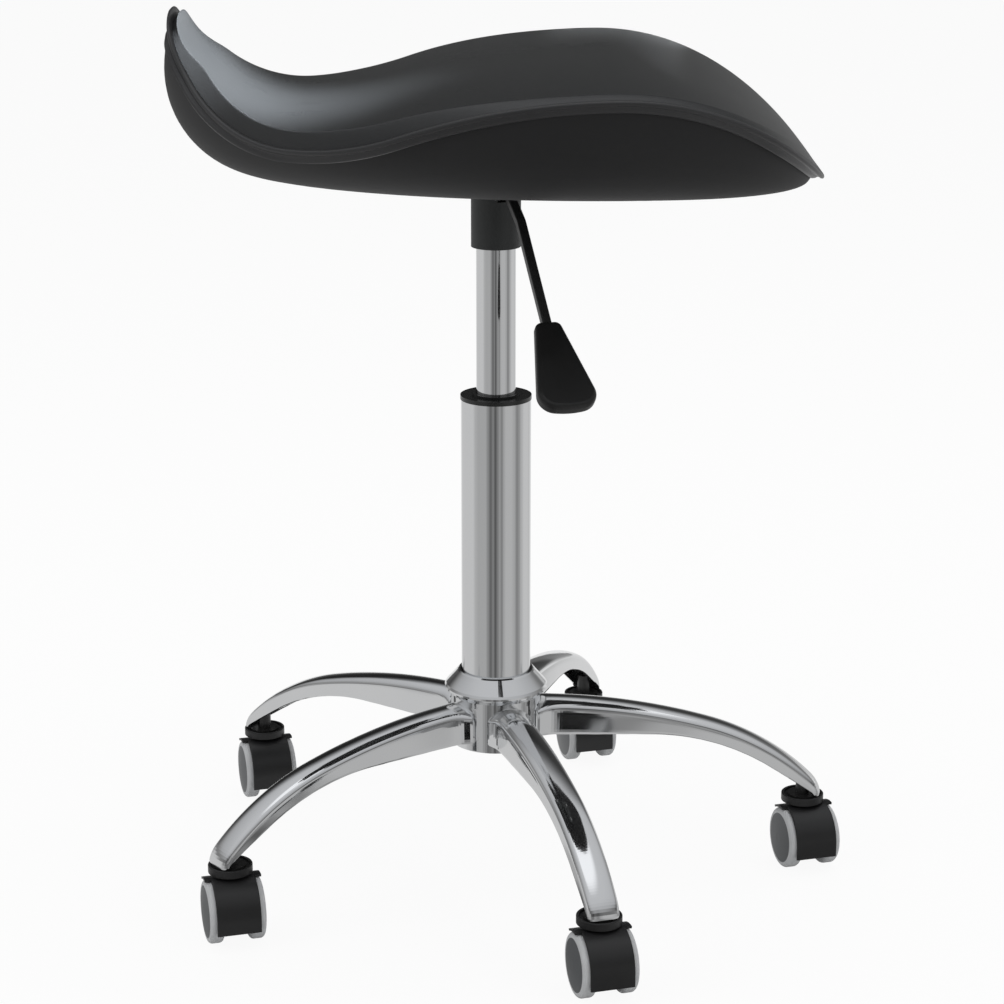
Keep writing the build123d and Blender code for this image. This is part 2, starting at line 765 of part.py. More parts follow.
with BuildPart() as arm:
    with BuildSketch(Plane.XZ):
        with BuildLine():
            crown_end = arm_top(0.0)
            nose = (arm_tip_radius, crown_end[1] - arm_nose_radius * math.cos(nose_slope))
            TangentArc(crown_end, nose, tangent=(math.cos(nose_slope), -math.sin(nose_slope)))
            Polyline(
                nose,
                (arm_tip_radius, 0),
                (arm_root_radius, 0),
                (arm_root_radius, arm_root_top_z),
            )
        make_face()
    extrude(amount=arm_width / 2, both=True)
    crown_edges = arm.edges().filter_by(GeomType.CIRCLE)
    nose_edges = arm.edges().filter_by(Axis.Z).group_by(Axis.X)[-1]
    fillet(crown_edges + nose_edges, arm_edge_round)
    with BuildSketch(Plane.XZ):
        with BuildLine():
            under_turn = math.radians(arm_under_turn)
            belly = (arm_belly_radius, arm_belly_z)
            haunch_z = arm_belly_z - arm_under_bend * (1 - math.cos(under_turn))
            haunch = (arm_belly_radius + arm_under_bend * math.sin(under_turn), haunch_z)
            heel = (haunch[0] + (haunch_z - arm_nose_bottom_z) / math.tan(under_turn), arm_nose_bottom_z)
            Line((arm_root_radius, arm_root_bottom_z), belly)
            TangentArc(belly, haunch, tangent=(1, 0))
            Polyline(
                haunch,
                heel,
                (arm_tip_radius, arm_nose_bottom_z),
                (arm_tip_radius, 0),
                (arm_root_radius, 0),
                (arm_root_radius, arm_root_bottom_z),
            )
        make_face()
    extrude(amount=arm_width / 2, both=True, mode=Mode.SUBTRACT)
    add(arm_channel.part, mode=Mode.SUBTRACT)
    with BuildSketch(Plane.XY.offset(arm_nose_bottom_z)):
        with Locations((stem_circle_radius, 0)):
            Circle(stem_boss_diameter / 2)
    extrude(amount=stem_boss_height)
    with BuildSketch(Plane.XY.offset(arm_nose_bottom_z)):
        with Locations((stem_circle_radius, 0)):
            Circle(stem_diameter / 2 + stem_fit)
    extrude(amount=stem_socket_top_z - arm_nose_bottom_z, mode=Mode.SUBTRACT)



def joins_hub(edge):
    """Whether an edge runs where an arm meets the hub's side."""
    place = edge.center()
    on_side = abs(math.hypot(place.X, place.Y) - hub_radius) < arm_wall / 2
    return on_side and arm_root_bottom_z < place.Z < arm_root_top_z


arm_start = arm_turn - 90
with BuildPart() as star_base:
    with PolarLocations(0, arm_count, start_angle=arm_start):
        add(arm.part)
    with BuildSketch(Plane.XZ) as hub_section:
        with BuildLine():
            Polyline(
                (0, hub_bottom_z),
                (hub_radius, hub_bottom_z),
                (hub_radius, hub_rim_z - (hub_rim_radius - hub_radius)),
                (hub_rim_radius, hub_rim_z),
                (hub_rim_radius, hub_rim_z + hub_rim_height),
                (hub_top_radius, hub_top_z),
                (0, hub_top_z),
                close=True,
            )
        make_face()
        fillet(hub_section.vertices().group_by(Axis.X)[-1], hub_rim_round)
    revolve()
    with BuildSketch(Plane.XZ):
        with BuildLine():
            taper_run = (stand_radius - stand_foot_radius) / (stand_taper_z - stand_foot_z)
            mouth_radius = stand_foot_radius - taper_run * (stand_foot_z - hub_bottom_z) + taper_clearance
            Polyline(
                (0, hub_bottom_z),
                (mouth_radius, hub_bottom_z),
                (stand_radius + taper_clearance, stand_taper_z),
                (stand_radius + taper_clearance, hub_top_z),
                (0, hub_top_z),
                close=True,
            )
        make_face()
    revolve(mode=Mode.SUBTRACT)
    fillet(star_base.edges().filter_by(joins_hub), hub_blend)
finish(star_base.part, "star_base")

# Caster stems: pressed into the arms, with a spigot that each caster turns on
cup_floor_z = cup_top_z - cup_depth
flange_bottom_z = cup_floor_z + swivel_clearance
swivel_bottom_z = cup_floor_z - swivel_depth
with BuildPart() as caster_stems:
    with BuildSketch(Plane.XY.offset(swivel_bottom_z + swivel_clearance)):
        with PolarLocations(stem_circle_radius, arm_count, start_angle=arm_start):
            Circle(swivel_diameter / 2)
    extrude(amount=swivel_depth)
    with BuildSketch(Plane.XY.offset(flange_bottom_z)):
        with PolarLocations(stem_circle_radius, arm_count, start_angle=arm_start):
            Circle(swivel_flange_diameter / 2)
    extrude(amount=swivel_flange_thickness)
    with BuildSketch(Plane.XY.offset(flange_bottom_z)):
        with PolarLocations(stem_circle_radius, arm_count, start_angle=arm_start):
            Circle(stem_diameter / 2)
    extrude(amount=stem_socket_top_z - flange_bottom_z)
finish(caster_stems.part, "caster_stems")

# Casters: a hood with a cup, an axle and two wheels with soft treads
caster_angle = math.radians(caster_turn)
axle_way = Vector(math.cos(caster_angle), math.sin(caster_angle), 0)
trail_way = Vector(math.sin(caster_angle), -math.cos(caster_angle), 0)
hood_inner = wheel_radius + hood_gap
hood_outer = hood_inner + hood_wall
hood_drop = hood_floor_gap - wheel_radius
hood_sweep = 90 + hood_back_angle
brow_start = 90 - brow_front_angle
brow_sweep = hood_back_angle + brow_front_angle
rim_radius = wheel_radius - tread_depth
wheel_face = tread_inner + tread_width
axle_reach = wheel_face - wheel_dish_height - axle_end_gap
web_half = tread_inner - wheel_side_gap

for number in range(arm_count):
    around = math.radians(arm_turn + 360 / arm_count * number)
    stem_place = Vector(math.sin(around), -math.cos(around), 0) * stem_circle_radius
    axle_place = stem_place + trail_way * caster_trail + Vector(0, 0, wheel_radius)
    side_plane = Plane(origin=axle_place, x_dir=trail_way, z_dir=-axle_way)
    caster = number + 1

    with BuildPart() as caster_hood:
        with BuildSketch(side_plane):
            with BuildLine():
                outer_arc = CenterArc((0, 0), hood_outer, 0, hood_sweep)
                inner_arc = CenterArc((0, 0), hood_inner, 0, hood_sweep)
                Polyline(outer_arc @ 0, (hood_outer, hood_drop), (hood_inner, hood_drop), inner_arc @ 0)
                Line(outer_arc @ 1, inner_arc @ 1)
            make_face()
        extrude(amount=hood_half_width, both=True)
        outside = caster_hood.faces().filter_by(GeomType.CYLINDER).sort_by(SortBy.AREA)[-1:]
        outside += caster_hood.faces().filter_by(GeomType.PLANE).sort_by(Axis(axle_place, trail_way))[-1:]
        side_edges = [edge for edge in outside.edges() if abs((edge.center() - axle_place).dot(axle_way)) > web_half]
        fillet(side_edges, hood_edge_round)
        with BuildSketch(side_plane):
            with BuildLine():
                brow_outer = CenterArc((0, 0), hood_outer, brow_start, brow_sweep)
                brow_inner = CenterArc((0, 0), hood_inner, brow_start, brow_sweep)
                Line(brow_outer @ 0, brow_inner @ 0)
                Line(brow_outer @ 1, brow_inner @ 1)
            make_face()
        extrude(amount=brow_half_width, both=True)
        with BuildSketch(side_plane):
            with BuildLine():
                web_arc = CenterArc((0, 0), hood_inner + hood_wall / 2, 0, hood_sweep)
                Polyline(web_arc @ 0, (hood_inner, hood_drop), (0, hood_drop), (0, 0), web_arc @ 1)
            make_face()
            Circle(hood_boss_radius)
        extrude(amount=web_half, both=True)
        with BuildSketch(Plane(origin=stem_place + Vector(0, 0, swivel_bottom_z - cup_wall))):
            Circle(web_half)
        extrude(amount=cup_floor_z - swivel_bottom_z + cup_wall)
        with BuildSketch(Plane(origin=stem_place + Vector(0, 0, cup_bottom_z))):
            Circle(cup_radius)
        extrude(amount=cup_top_z - cup_bottom_z)
        with BuildSketch(Plane(origin=stem_place + Vector(0, 0, cup_floor_z))):
            Circle(cup_radius - cup_wall)
        extrude(amount=cup_depth, mode=Mode.SUBTRACT)
        fillet(caster_hood.faces().sort_by(Axis.Z)[-1].edges(), cup_edge_round)
        with BuildSketch(Plane(origin=stem_place + Vector(0, 0, swivel_bottom_z))):
            Circle(swivel_diameter / 2 + swivel_clearance)
        extrude(amount=swivel_depth, mode=Mode.SUBTRACT)
        with BuildSketch(side_plane):
            Circle(axle_diameter / 2)
        extrude(amount=hood_half_width, both=True, mode=Mode.SUBTRACT)
    finish(caster_hood.part, f"caster_hood_{caster}")

    with BuildPart() as caster_axle:
        with BuildSketch(side_plane):
            Circle(axle_diameter / 2)
        extrude(amount=axle_reach, both=True)
    finish(caster_axle.part, f"caster_axle_{caster}")

    for side, name in ((-1, "left"), (1, "right")):
        wheel_turn = axle_way.cross(Vector(0, 0, side))
        wheel_plane = Plane(origin=axle_place, x_dir=axle_way * side, z_dir=wheel_turn)
        axle_axis = Axis(axle_place, axle_way)
        bore = axle_diameter / 2 + wheel_bore_clearance

        with BuildPart() as wheel:
            with BuildSketch(wheel_plane):
                with BuildLine():
                    Polyline(
                        (axle_reach + axle_end_gap, 0),
                        (axle_reach + axle_end_gap, bore),
                        (tread_inner, bore),
                        (tread_inner, rim_radius),
                        (wheel_face, rim_radius),
                        (wheel_face, wheel_dish_radius),
                    )
                    ThreePointArc(
                        (wheel_face, wheel_dish_radius),
                        (wheel_face + wheel_dish_height * 3 / 4, wheel_dish_radius / 2),
                        (wheel_face + wheel_dish_height, wheel_cap_radius),
                    )
                    Polyline(
                        (wheel_face + wheel_dish_height, wheel_cap_radius),
                        (wheel_face + wheel_dish_height, 0),
                        (axle_reach + axle_end_gap, 0),
                    )
                make_face()
            revolve(axis=axle_axis)
        finish(wheel.part, f"wheel_{caster}_{name}")

        with BuildPart() as tread:
            with BuildSketch(wheel_plane) as tread_section:
                with Locations((tread_inner + tread_width / 2, rim_radius + tread_depth / 2)):
                    Rectangle(tread_width, tread_depth)
                fillet(tread_section.vertices().group_by(Axis.Y)[-1], tread_shoulder)
            revolve(axis=axle_axis)
        finish(tread.part, f"tread_{caster}_{name}")
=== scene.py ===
import bpy
import math
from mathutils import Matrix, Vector


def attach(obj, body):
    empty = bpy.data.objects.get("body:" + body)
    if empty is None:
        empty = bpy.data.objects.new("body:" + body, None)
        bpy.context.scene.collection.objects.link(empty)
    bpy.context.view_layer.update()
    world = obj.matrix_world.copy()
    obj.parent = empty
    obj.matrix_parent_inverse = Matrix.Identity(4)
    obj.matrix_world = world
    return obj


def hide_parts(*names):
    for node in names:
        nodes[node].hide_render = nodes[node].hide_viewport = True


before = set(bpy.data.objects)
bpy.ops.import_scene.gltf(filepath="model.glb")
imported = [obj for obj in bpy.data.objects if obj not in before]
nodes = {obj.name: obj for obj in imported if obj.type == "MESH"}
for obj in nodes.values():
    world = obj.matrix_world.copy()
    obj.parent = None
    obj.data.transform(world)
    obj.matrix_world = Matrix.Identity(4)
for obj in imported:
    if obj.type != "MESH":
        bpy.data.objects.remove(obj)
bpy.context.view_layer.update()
scene = bpy.context.scene
scene.view_settings.view_transform = "Standard"


# Node trees

class Value:
    """A number that changes over a surface. Sums and products of values add Math nodes."""

    def __init__(self, recipe, socket):
        self.recipe = recipe
        self.socket = socket

    def __add__(self, other):
        return self.recipe.sum("ADD", self, other)

    def __radd__(self, other):
        return self.recipe.sum("ADD", other, self)

    def __sub__(self, other):
        return self.recipe.sum("SUBTRACT", self, other)

    def __rsub__(self, other):
        return self.recipe.sum("SUBTRACT", other, self)

    def __mul__(self, other):
        return self.recipe.sum("MULTIPLY", self, other)

    def __rmul__(self, other):
        return self.recipe.sum("MULTIPLY", other, self)


class Recipe:
    """The nodes of one finish, of the floor or of the room."""

    def __init__(self, tree):
        self.tree = tree
        tree.nodes.clear()

    def node(self, kind, settings=None, sockets=None, output=0):
        made = self.tree.nodes.new(kind)
        for name, setting in (settings or {}).items():
            if name == "stops":
                self.set_stops(made.color_ramp, setting)
            else:
                setattr(made, name, setting)
        for name, value in (sockets or {}).items():
            if isinstance(value, Value):
                self.tree.links.new(value.socket, made.inputs[name])
            else:
                made.inputs[name].default_value = value
        return Value(self, made.outputs[output]) if made.outputs else None

    def set_stops(self, ramp, stops):
        ramp.interpolation = "EASE"
        while len(ramp.elements) < len(stops):
            ramp.elements.new(1.0)
        for element, (place, shade) in zip(ramp.elements, stops):
            element.position = place
            element.color = (shade, shade, shade, 1.0)

    def sum(self, operation, first, second):
        return self.node("ShaderNodeMath", {"operation": operation}, {0: first, 1: second})

    def place(self):
        return self.node("ShaderNodeTexCoord", output="Object")

    def noise(self, scale, detail, stretch=(1.0, 1.0, 1.0)):
        where = self.node("ShaderNodeMapping", {}, {"Vector": self.place(), "Scale": stretch})
        return self.node("ShaderNodeTexNoise", {}, {"Vector": where, "Scale": scale, "Detail": detail}, "Fac")

    def cells(self, scale):
        sockets = {"Vector": self.place(), "Scale": scale}
        return self.node("ShaderNodeTexVoronoi", {"feature": "DISTANCE_TO_EDGE"}, sockets, "Distance")

    def ramp(self, value, stops):
        return self.node("ShaderNodeValToRGB", {"stops": stops}, {"Fac": value}, "Color")

    def mix(self, share, first, second, blend_type="MIX"):
        settings = {"data_type": "RGBA", "blend_type": blend_type}
        return self.node("ShaderNodeMix", settings, {0: share, 6: first, 7: second}, 2)

    def blend(self, share, first, second):
        return self.mix(share, (*first, 1.0), (*second, 1.0))

    def mix_shader(self, share, first, second):
        return self.node("ShaderNodeMixShader", {}, {0: share, 1: first, 2: second})

    def axis(self, vector, name):
        return self.node("ShaderNodeSeparateXYZ", {}, {"Vector": vector}, name)

    def walls(self, vector):
        """Grey screens round the stool, as its plating shows them; the front is at the ramp's middle."""
        turn = self.sum("ARCTAN2", self.axis(vector, "X"), self.axis(vector, "Y") * -1.0)
        return self.ramp(turn * (0.5 / math.pi) + 0.5, wall_tones)

    def behind(self, way):
        """The part of the studio that lies behind the stool."""
        return self.ramp(self.axis(way, "Y"), ((0.55, 0.0), (0.85, 1.0)))

    def far_end(self, way):
        """The dim far end of the studio, a little lighter to the right."""
        across = self.ramp(self.axis(way, "X") * 0.5 + 0.5, far_end_tones)
        low = self.ramp(self.axis(way, "Z"), far_end_heights)
        return across * low * far_end_level

    def ray(self, kind):
        return self.node("ShaderNodeLightPath", output=kind)

    def seen(self):
        """One where the camera looks, straight or through something clear."""
        return self.sum("MAXIMUM", self.ray("Is Camera Ray"), self.ray("Is Transmission Ray"))

    def bump(self, height, distance, strength=1.0):
        sockets = {"Height": height, "Distance": distance, "Strength": strength}
        return self.node("ShaderNodeBump", {}, sockets, "Normal")


wall_tones = (
    (0.0, 0.85), (0.05, 0.82), (0.10, 0.60), (0.27, 0.60), (0.31, 0.46), (0.335, 0.42), (0.405, 0.42),
    (0.425, 0.29), (0.453, 0.14), (0.475, 0.24), (0.494, 0.10), (0.517, 0.23), (0.533, 0.34), (0.553, 0.24),
    (0.572, 0.41), (0.592, 0.49), (0.64, 0.49), (0.67, 0.43), (0.703, 0.25), (0.728, 0.32), (0.753, 0.47),
    (0.795, 0.60), (0.845, 0.60), (0.892, 0.54), (0.922, 0.71), (1.0, 0.85),
)
far_end_tones = ((0.40, 0.05), (0.50, 0.07), (0.66, 0.14), (0.85, 0.4))
far_end_heights = ((0.0, 1.0), (0.10, 0.9), (0.22, 0.22), (0.45, 0.15))
far_end_level = 2.2


def finish(name, build):
    """A material whose surface takes the sockets that the build gives."""
    material = bpy.data.materials.new(name)
    material.use_nodes = True
    recipe = Recipe(material.node_tree)
    surface = recipe.node("ShaderNodeBsdfPrincipled", {}, build(recipe))
    recipe.node("ShaderNodeOutputMaterial", {}, {"Surface": surface})
    return material


# Finishes

def hide_folds(recipe):
    """Fine folds of the hide on the pad and on the wrapped edge."""
    return recipe.ramp(recipe.cells(780.0), ((0.0, 0.0), (0.28, 1.0)))


def upholstery(recipe):
    pores = recipe.noise(1900.0, 2.0)
    drift = recipe.noise(9.0, 3.0)
    folds = hide_folds(recipe)
    return {
        "Base Color": recipe.blend(drift, (0.019, 0.020, 0.021), (0.025, 0.026, 0.027)),
        "Roughness": 0.29 + drift * 0.06 - folds * 0.04,
        "Specular IOR Level": 0.5,
        "Normal": recipe.bump(folds * 0.8 + pores * 0.35, 0.00012, 0.5),
    }


def edge_wrap(recipe):
    drift = recipe.noise(14.0, 3.0)
    folds = hide_folds(recipe)
    return {
        "Base Color": recipe.blend(drift, (0.023, 0.023, 0.024), (0.031, 0.031, 0.032)),
        "Roughness": 0.32 + drift * 0.10,
        "Normal": recipe.bump(folds, 0.0001, 0.4),
    }


def moulded_cover(recipe):
    grain = recipe.noise(1300.0, 4.0)
    drift = recipe.noise(7.0, 3.0)
    return {
        "Base Color": recipe.blend(drift, (0.0137, 0.0137, 0.0144), (0.0187, 0.0187, 0.0194)),
        "Roughness": 0.56 + drift * 0.10,
        "Specular IOR Level": 0.35,
        "Normal": recipe.bump(grain, 0.00010, 0.45),
    }


def plated_tube(recipe):
    haze = recipe.noise(16.0, 4.0, (1.0, 1.0, 0.25))
    lines = recipe.noise(700.0, 2.0, (1.0, 1.0, 0.02))
    return {
        "Base Color": recipe.blend(haze, (0.80, 0.81, 0.82), (0.86, 0.865, 0.87)),
        "Metallic": 1.0,
        "Roughness": 0.035 + haze * 0.05,
        "Normal": recipe.bump(lines, 0.000004, 0.4),
    }


def plated_casting(recipe):
    haze = recipe.noise(22.0, 4.0)
    swell = recipe.noise(26.0, 1.0)
    return {
        "Base Color": recipe.blend(haze, (0.80, 0.81, 0.82), (0.86, 0.865, 0.87)),
        "Metallic": 1.0,
        "Roughness": 0.05 + haze * 0.06,
        "Normal": recipe.bump(swell, 0.0006, 0.35),
    }


def turned_steel(recipe):
    haze = recipe.noise(60.0, 4.0)
    rings = recipe.noise(900.0, 2.0, (0.05, 0.05, 1.0))
    return {
        "Base Color": recipe.blend(haze, (0.50, 0.50, 0.49), (0.64, 0.64, 0.63)),
        "Metallic": 1.0,
        "Roughness": 0.24 + rings * 0.16,
        "Normal": recipe.bump(rings, 0.00002, 0.5),
    }


def powder_coat(recipe):
    peel = recipe.noise(850.0, 2.0)
    drift = recipe.noise(20.0, 3.0)
    return {
        "Base Color": recipe.blend(drift, (0.026, 0.029, 0.029), (0.034, 0.037, 0.037)),
        "Roughness": 0.42 + drift * 0.14,
        "Normal": recipe.bump(peel, 0.00008, 0.5),
    }


def lever_paint(recipe):
    peel = recipe.noise(1100.0, 2.0)
    rub = recipe.noise(90.0, 4.0)
    return {
        "Base Color": recipe.blend(rub, (0.014, 0.014, 0.014), (0.022, 0.022, 0.022)),
        "Roughness": 0.26 + rub * 0.14,
        "Normal": recipe.bump(peel, 0.00004, 0.5),
    }


def paddle_grip(recipe):
    grain = recipe.noise(1800.0, 3.0)
    rub = recipe.noise(40.0, 4.0)
    return {
        "Base Color": recipe.blend(rub, (0.007, 0.007, 0.007), (0.012, 0.012, 0.012)),
        "Roughness": 0.34 + rub * 0.14,
        "Normal": recipe.bump(grain, 0.00004, 0.5),
    }


def caster_nylon(recipe):
    grain = recipe.noise(1500.0, 3.0)
    drift = recipe.noise(45.0, 3.0)
    return {
        "Base Color": recipe.blend(drift, (0.010, 0.010, 0.0105), (0.015, 0.015, 0.0155)),
        "Roughness": 0.34 + drift * 0.12,
        "Normal": recipe.bump(grain, 0.00004, 0.5),
    }


def bush_plastic(recipe):
    drift = recipe.noise(70.0, 3.0)
    grain = recipe.noise(1600.0, 2.0)
    return {
        "Base Color": recipe.blend(drift, (0.012, 0.013, 0.013), (0.018, 0.019, 0.019)),
        "Roughness": 0.20 + drift * 0.12,
        "Normal": recipe.bump(grain, 0.00002, 0.4),
    }


def wheel_disc(recipe):
    grain = recipe.noise(1500.0, 3.0)
    drift = recipe.noise(50.0, 3.0)
    return {
        "Base Color": recipe.blend(drift, (0.085, 0.09, 0.095), (0.11, 0.115, 0.12)),
        "Roughness": 0.38 + drift * 0.14,
        "Normal": recipe.bump(grain, 0.00004, 0.5),
    }


def soft_tread(recipe):
    dust = recipe.noise(120.0, 4.0)
    grain = recipe.noise(1400.0, 3.0)
    return {
        "Base Color": recipe.blend(dust, (0.50, 0.51, 0.52), (0.60, 0.61, 0.62)),
        "Roughness": 0.48 + dust * 0.18,
        "Normal": recipe.bump(grain, 0.00006, 0.5),
    }


def sawn_timber(recipe):
    plies = recipe.noise(60.0, 4.0, (0.08, 0.08, 3.0))
    fibre = recipe.noise(500.0, 3.0, (0.05, 1.0, 1.0))
    return {
        "Base Color": recipe.blend(plies, (0.36, 0.22, 0.11), (0.62, 0.45, 0.27)),
        "Roughness": 0.62 + fibre * 0.2,
        "Normal": recipe.bump(fibre, 0.0002, 0.6),
    }


def buffer_rubber(recipe):
    grain = recipe.noise(900.0, 3.0)
    return {
        "Base Color": recipe.blend(grain, (0.018, 0.018, 0.018), (0.03, 0.03, 0.03)),
        "Roughness": 0.66 + grain * 0.16,
        "Normal": recipe.bump(grain, 0.0001, 0.5),
    }


finishes = {
    build.__name__: finish(build.__name__, build)
    for build in (
        upholstery, edge_wrap, moulded_cover, plated_tube, plated_casting, turned_steel, powder_coat,
        lever_paint, paddle_grip, caster_nylon, bush_plastic, wheel_disc, soft_tread, sawn_timber,
        buffer_rubber,
    )
}
node_finishes = {
    "seat_pan": "edge_wrap",
    "seat_lower_cover": "moulded_cover",
    "seat_block": "sawn_timber",
    "seat_plate": "powder_coat",
    "socket_tube": "powder_coat",
    "pressure_tube": "plated_tube",
    "stand_tube": "plated_tube",
    "star_base": "plated_casting",
    "guide_bush": "bush_plastic",
    "rod_gland": "bush_plastic",
    "piston": "bush_plastic",
    "rod_buffer": "buffer_rubber",
    "lever_rod": "lever_paint",
    # The caster stems take the lever's black paint: partly a black finish, partly painted shade for the dark
    # gap under each arm's nose.
    "caster_stems": "lever_paint",
    "lever_paddle": "paddle_grip",
}
group_finishes = {"caster_hood": "caster_nylon", "wheel": "wheel_disc", "tread": "soft_tread"}


def dress(piece, name):
    piece.data.materials.clear()
    piece.data.materials.append(finishes[name])


for name, piece in nodes.items():
    group = name.rstrip("_12345").removesuffix("_left").removesuffix("_right").rstrip("_12345")
    dress(piece, node_finishes.get(name, group_finishes.get(group, "turned_steel")))


# Seat wave, in metres: four tangent arcs from the raised rear tip to the falling front edge
valley = Vector((-0.1340, 0.5525))
crest = Vector((0.0780, 0.5906))
rear_radius = 0.0862
rear_lean = math.radians(83.0)
front_radius = 0.183
rear_tip_x = valley.x - rear_radius * math.sin(rear_lean)
front_tip_x = 0.2234
wave_turn = 2 * math.atan2(crest.y - valley.y, crest.x - valley.x)
wave_radii = (crest.x - valley.x) / math.sin(wave_turn)
valley_share = 0.335
valley_radius = valley_share * wave_radii
crest_radius = wave_radii - valley_radius
inflection_x = valley.x + valley_radius * math.sin(wave_turn)
widest_x = 0.044
rear_roundness = 1.97
tip_bluntness = 0.77
tip_span = 0.35
front_roundness = 2.85
lip_outline = (rear_tip_x, front_tip_x, 0.2047)
crease_outline = (rear_tip_x + 0.0004, 0.2052, 0.1936)
seat_middle = Vector((0.02, 0.0))
steepest = 0.999


def wave_point(x, rise):
    """Point of the seat's wave at x, raised along the wave's normal."""
    start, radius, way = (valley, rear_radius, 1)
    if x >= valley.x:
        radius = valley_radius
    if x >= inflection_x:
        start, radius, way = (crest, crest_radius, -1)
    if x >= crest.x:
        radius = front_radius
    lean = math.asin(max(-steepest, min(steepest, (x - start.x) / radius)))
    z = start.y + way * radius * (1 - math.cos(lean))
    return x - rise * way * math.sin(lean), z + rise * math.cos(lean)


def outline_point(angle, rear_x, front_x, half):
    """Point of a plan outline with a round rear, blunted at its tip, and a blunt front."""
    along, across = math.cos(angle), math.sin(angle)
    blunting = tip_bluntness * max(0.0, 1 - (across / tip_span) ** 2) ** 2
    reach, power = (front_x - widest_x, front_roundness)
    if along <= 0:
        reach, power = (widest_x - rear_x, rear_roundness + blunting)
    x = widest_x + math.copysign(reach * abs(along) ** (2 / power), along)
    return Vector((x, math.copysign(half * abs(across) ** (2 / power), across)))


def inset_point(angle, inset, outline):
    """Point of an outline drawn in along the outline's own normal."""
    step = 0.004
    tangent = outline_point(angle + step, *outline) - outline_point(angle - step, *outline)
    normal = Vector((tangent.y, -tangent.x)).normalized()
    return outline_point(angle, *outline) - normal * inset


def rearward(angle):
    """How far an angle of the outline looks to the rear: 0 from the sides forward, 1 at the rear tip."""
    return max(0.0, -math.cos(angle))


def on_wave(plan, height):
    x, z = wave_point(min(max(plan.x, rear_tip_x), front_tip_x), height)
    return Vector((x, plan.y, z))


# Operators

def start_clean():
    if bpy.context.object and bpy.context.object.mode == "EDIT":
        bpy.ops.object.mode_set(mode="OBJECT")
    bpy.ops.object.select_all(action="DESELECT")


def pick_edges(piece, wanted):
    """Selects the edges whose two ends pass a test, in edit mode."""
    bpy.ops.object.mode_set(mode="EDIT")
    bpy.ops.mesh.select_all(action="DESELECT")
    bpy.ops.mesh.select_mode(type="EDGE")
    bpy.ops.object.mode_set(mode="OBJECT")
    points = piece.data.vertices
    for edge in piece.data.edges:
        edge.select = wanted(points[edge.vertices[0]].co, points[edge.vertices[1]].co)
    bpy.ops.object.mode_set(mode="EDIT")


def waved_sheet(name, columns, rows, rings, place):
    """A square slab with rings of corners round its side, every corner laid on the seat by its place."""
    start_clean()
    bpy.ops.mesh.primitive_grid_add(x_subdivisions=columns, y_subdivisions=rows, size=2.0)
    sheet = bpy.context.object
    sheet.name = name
    bpy.ops.object.mode_set(mode="EDIT")
    bpy.ops.mesh.select_all(action="SELECT")
    bpy.ops.mesh.extrude_region_move(TRANSFORM_OT_translate={"value": (0.0, 0.0, 1.0)})
    pick_edges(sheet, lambda first, second: abs(first.z - second.z) > 0.5)
    bpy.ops.mesh.subdivide(number_cuts=rings)
    bpy.ops.object.mode_set(mode="OBJECT")
    for vertex in sheet.data.vertices:
        u, v, level = vertex.co
        a, b = u * math.sqrt(1 - v * v / 2), v * math.sqrt(1 - u * u / 2)
        vertex.co = place(min(math.hypot(a, b), 1.0), math.atan2(b, a), round(level * (rings + 1)))
    bpy.ops.object.mode_set(mode="EDIT")
    bpy.ops.mesh.select_all(action="SELECT")
    bpy.ops.mesh.normals_make_consistent(inside=False)
    bpy.ops.object.mode_set(mode="OBJECT")
    rounding = sheet.modifiers.new("rounding", "SUBSURF")
    rounding.levels = rounding.render_levels = 1
    bpy.ops.object.modifier_apply(modifier="rounding")
    bpy.ops.object.shade_smooth()
    return sheet


# Cushion: a sheet drawn over the wave, with a rounded crease and a sloping band that runs into the lip
band_rings = (
    (0.02, 0.02), (0.12, 0.15), (0.26, 0.32), (0.42, 0.50), (0.58, 0.67), (0.74, 0.82), (0.88, 0.93),
    (0.97, 0.99),
)
foot_inset = 0.0030
rear_tuck = 0.5
crease_inset = 0.0022
foot_height = -0.0006
rise_steps = (
    (rear_tip_x, 0.0046), (-0.200, 0.0132), (valley.x + 0.02, 0.0120), (0.060, 0.0035), (front_tip_x, 0.0024),
)
crown = 0.0035
crown_fullness = 2.4


def crease_rise(x):
    for (start, low), (end, high) in zip(rise_steps, rise_steps[1:]):
        if x <= end:
            share = max(0.0, (x - start) / (end - start))
            return low + (high - low) * (1 - math.cos(math.pi * share)) / 2
    return rise_steps[-1][1]


def cushion_place(reach, angle, ring):
    foot = inset_point(angle, foot_inset * (1 - rear_tuck * rearward(angle) ** 12), lip_outline)
    if ring == 0:
        return on_wave(seat_middle.lerp(foot, reach), foot_height)
    if ring <= len(band_rings):
        inward, upward = band_rings[ring - 1]
        plan = foot.lerp(outline_point(angle, *crease_outline), inward)
        return on_wave(plan, foot_height + crease_rise(plan.x) * upward)
    plan = seat_middle.lerp(inset_point(angle, crease_inset, crease_outline), reach)
    return on_wave(plan, foot_height + crease_rise(plan.x) + crown * (1 - reach ** crown_fullness))


cushion = waved_sheet("seat_pad", columns=78, rows=70, rings=len(band_rings), place=cushion_place)
dress(cushion, "upholstery")
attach(cushion, "seat")
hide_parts("seat_cushion")

# Lip: the pan's wrapped edge, a thin sheet with a round bead and a skirt that flares beside the rear tip
lip_rings = 8
bead_radius = 0.0019
skirt_inset = 0.0024
skirt_depth = 0.0088
rear_flare = 0.0045


